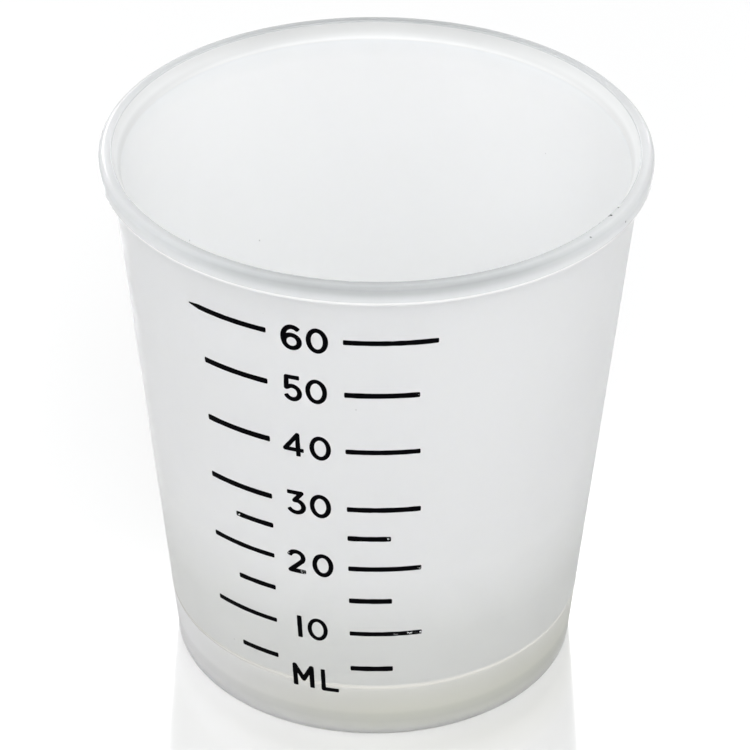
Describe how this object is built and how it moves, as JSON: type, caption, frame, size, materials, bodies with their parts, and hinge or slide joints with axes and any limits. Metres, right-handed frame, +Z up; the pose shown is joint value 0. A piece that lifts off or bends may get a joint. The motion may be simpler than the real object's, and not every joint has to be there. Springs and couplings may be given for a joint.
{
  "type": "graduated dispensing cup",
  "caption": "Conical translucent cup with a flanged mouth, a foot ring and a printed volume scale in two columns, for measuring out small amounts of liquid.",
  "frame": {"origin": "centre of the base, in the plane that the foot ring stands on", "axes": "+Z up along the cup's axis, -Y towards the viewer and through the printed scale, +X to the viewer's right"},
  "size_m": [0.0518, 0.0518, 0.0544],
  "materials": {
    "polypropylene": "natural translucent, satin",
    "ink": "satin print"
  },
  "bodies": {
    "root": {"cup_body": "polypropylene", "line_left_5": "ink", "line_right_5": "ink", "line_left_10": "ink", "line_right_10": "ink", "line_left_15": "ink", "line_right_15": "ink", "line_left_20": "ink", "line_right_20": "ink", "line_left_25": "ink", "line_right_25": "ink", "line_left_30": "ink", "line_right_30": "ink", "line_left_40": "ink", "line_right_40": "ink", "line_left_50": "ink", "line_right_50": "ink", "line_left_60": "ink", "line_right_60": "ink"}
  },
  "joints": []
}
